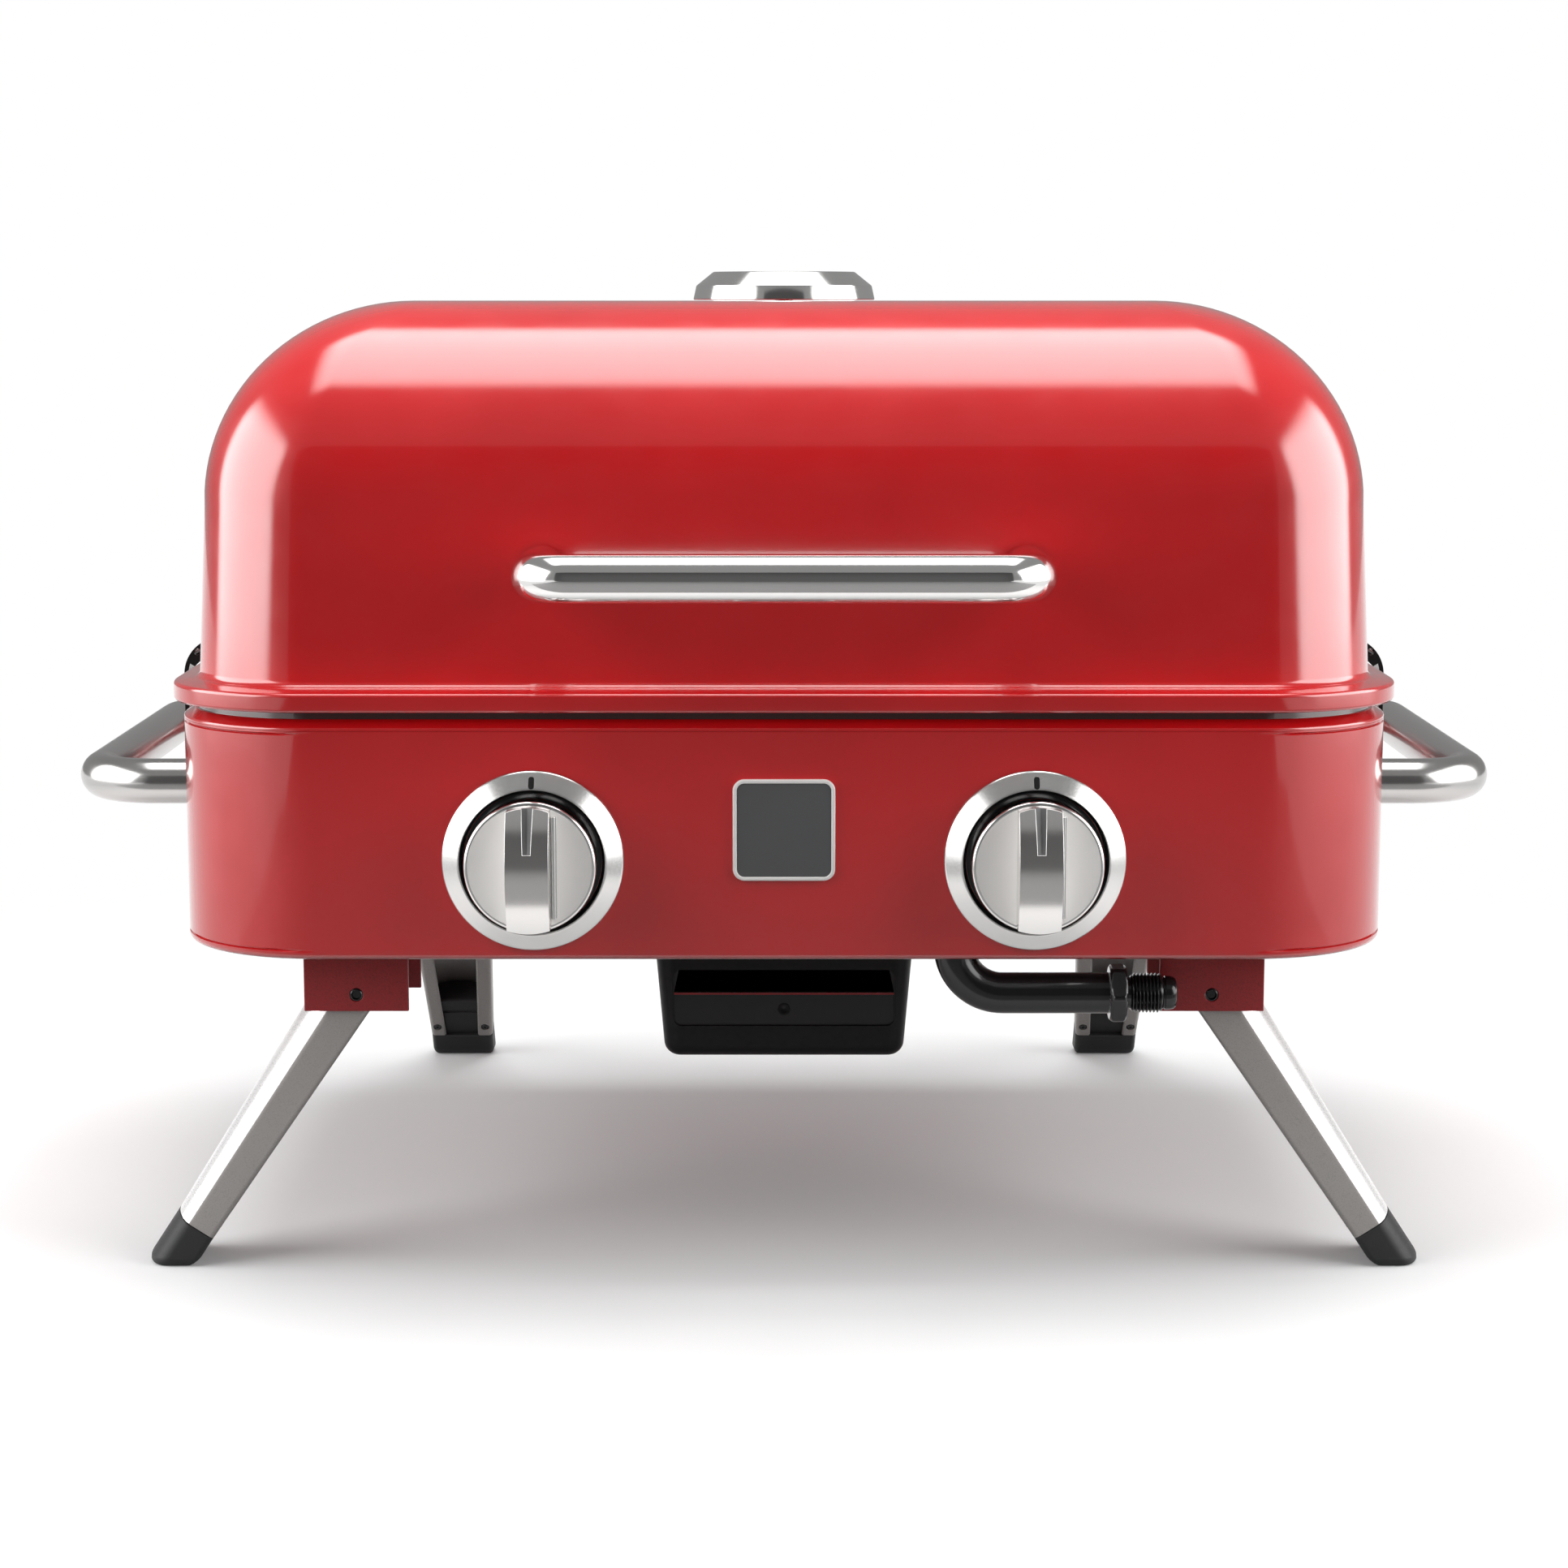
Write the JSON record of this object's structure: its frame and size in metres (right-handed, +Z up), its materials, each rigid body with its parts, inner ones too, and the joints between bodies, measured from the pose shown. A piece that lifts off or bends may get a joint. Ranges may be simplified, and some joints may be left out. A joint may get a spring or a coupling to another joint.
{
  "type": "portable tabletop gas grill",
  "caption": "Red tabletop gas grill with a hinged domed lid, control knobs, carrying handles, folding legs, side latches and a sliding grease cup.",
  "frame": {"origin": "on the table, under the middle of the object's overall box", "axes": "+X to the user's right as they face the knobs, +Y from the knobs to the back, +Z up"},
  "size_m": [0.62, 0.5021, 0.423],
  "materials": {
    "red_enamel": "glossy red enamel",
    "chrome_trim": "polished chrome",
    "satin_steel": "satin nickel",
    "leg_aluminium": "bead-blasted flanges, polished web",
    "black_metal": "gloss black",
    "black_enamel": "gloss black enamel",
    "cast_iron_grate": "matt black enamel on cast iron",
    "brass_valve": "machined",
    "plain_steel": "plain stainless sheet",
    "ceramic": "glazed ceramic",
    "dial_face": "satin white",
    "gauge_glass": "clear",
    "foot_plastic": "moulded black"
  },
  "bodies": {
    "base": {"housing_shell": "red_enamel", "firebox_bowl": "red_enamel", "badge_plate": "satin_steel", "gas_manifold": "plain_steel", "inlet_pipe": "black_metal", "inlet_fitting": "black_metal", "cup_hanger": "red_enamel", "knob_bezel_left": "satin_steel", "side_handle_left": "chrome_trim", "burner_left": "plain_steel", "heat_tent_left": "plain_steel", "valve_left": "brass_valve", "igniter_left": "ceramic", "hinge_lower_left": "plain_steel", "latch_bracket_left": "black_metal", "knob_bezel_right": "satin_steel", "side_handle_right": "chrome_trim", "burner_right": "plain_steel", "heat_tent_right": "plain_steel", "valve_right": "brass_valve", "igniter_right": "ceramic", "hinge_lower_right": "plain_steel", "latch_bracket_right": "black_metal", "leg_bracket_front_left": "red_enamel", "leg_pin_front_left": "black_metal", "leg_bracket_front_right": "red_enamel", "leg_pin_front_right": "black_metal", "leg_bracket_rear_left": "red_enamel", "leg_pin_rear_left": "black_metal", "leg_bracket_rear_right": "red_enamel", "leg_pin_rear_right": "black_metal"},
    "lid": {"lid_shell": "red_enamel", "lid_handle": "chrome_trim", "gauge_bezel": "chrome_trim", "gauge_dial": "dial_face", "gauge_lens": "gauge_glass", "gauge_stem": "plain_steel", "hinge_upper_left": "plain_steel", "hinge_upper_right": "plain_steel"},
    "needle": {"gauge_needle": "black_metal"},
    "cup": {"drip_cup": "black_enamel"},
    "seat_left": {"spring_seat_left": "plain_steel"},
    "control_left": {"knob_left": "satin_steel", "valve_stem_left": "brass_valve"},
    "grate_left": {"grate_left": "cast_iron_grate"},
    "latch_left": {"latch_claw_left": "black_metal"},
    "seat_right": {"spring_seat_right": "plain_steel"},
    "control_right": {"knob_right": "satin_steel", "valve_stem_right": "brass_valve"},
    "grate_right": {"grate_right": "cast_iron_grate"},
    "latch_right": {"latch_claw_right": "black_metal"},
    "leg_front_left": {"leg_front_left": "leg_aluminium", "foot_front_left": "foot_plastic"},
    "leg_front_right": {"leg_front_right": "leg_aluminium", "foot_front_right": "foot_plastic"},
    "leg_rear_left": {"leg_rear_left": "leg_aluminium", "foot_rear_left": "foot_plastic"},
    "leg_rear_right": {"leg_rear_right": "leg_aluminium", "foot_rear_right": "foot_plastic"}
  },
  "joints": [
    {"name": "lid_hinge", "type": "hinge", "parent": "base", "child": "lid", "pos_m": [0, 0.19694, 0.247], "axis": [-1, 0, 0], "range_deg": [0, 100]},
    {"name": "needle_sweep", "type": "hinge", "parent": "lid", "child": "needle", "pos_m": [0, -0.00756, 0.4141], "axis": [0, 0, -1], "range_deg": [0, 240]},
    {"name": "cup_slide", "type": "slide", "parent": "base", "child": "cup", "axis": [0, 1, 0], "range_m": [0, 0.16]},
    {"name": "knob_push_left", "type": "slide", "parent": "base", "child": "seat_left", "axis": [0, 1, 0], "range_m": [0, 0.003], "stiffness_N_per_m": 900, "springref_m": -0.002},
    {"name": "knob_turn_left", "type": "hinge", "parent": "seat_left", "child": "control_left", "pos_m": [-0.103, -0.20006, 0.183], "axis": [0, -1, 0], "range_deg": [0, 180]},
    {"name": "grate_lift_left", "type": "slide", "parent": "base", "child": "grate_left", "axis": [0, 0, 1], "range_m": [0, 0.06]},
    {"name": "latch_swing_left", "type": "hinge", "parent": "base", "child": "latch_left", "pos_m": [-0.264, -0.00756, 0.212], "axis": [0, -1, 0], "range_deg": [-6, 55]},
    {"name": "knob_push_right", "type": "slide", "parent": "base", "child": "seat_right", "axis": [0, 1, 0], "range_m": [0, 0.003], "stiffness_N_per_m": 900, "springref_m": -0.002},
    {"name": "knob_turn_right", "type": "hinge", "parent": "seat_right", "child": "control_right", "pos_m": [0.103, -0.20006, 0.183], "axis": [0, -1, 0], "range_deg": [0, 180]},
    {"name": "grate_lift_right", "type": "slide", "parent": "base", "child": "grate_right", "axis": [0, 0, 1], "range_m": [0, 0.06]},
    {"name": "latch_swing_right", "type": "hinge", "parent": "base", "child": "latch_right", "pos_m": [0.264, -0.00756, 0.212], "axis": [0, 1, 0], "range_deg": [-6, 55]},
    {"name": "leg_fold_front_left", "type": "hinge", "parent": "base", "child": "leg_front_left", "pos_m": [-0.18, -0.15056, 0.121], "axis": [0, -1, 0], "range_deg": [0, 123]},
    {"name": "leg_fold_front_right", "type": "hinge", "parent": "base", "child": "leg_front_right", "pos_m": [0.18, -0.15056, 0.121], "axis": [0, 1, 0], "range_deg": [0, 123]},
    {"name": "leg_fold_rear_left", "type": "hinge", "parent": "base", "child": "leg_rear_left", "pos_m": [-0.176, 0.15794, 0.121], "axis": [-1, 0, 0], "range_deg": [0, 123]},
    {"name": "leg_fold_rear_right", "type": "hinge", "parent": "base", "child": "leg_rear_right", "pos_m": [0.176, 0.15794, 0.121], "axis": [-1, 0, 0], "range_deg": [0, 123]}
  ]
}
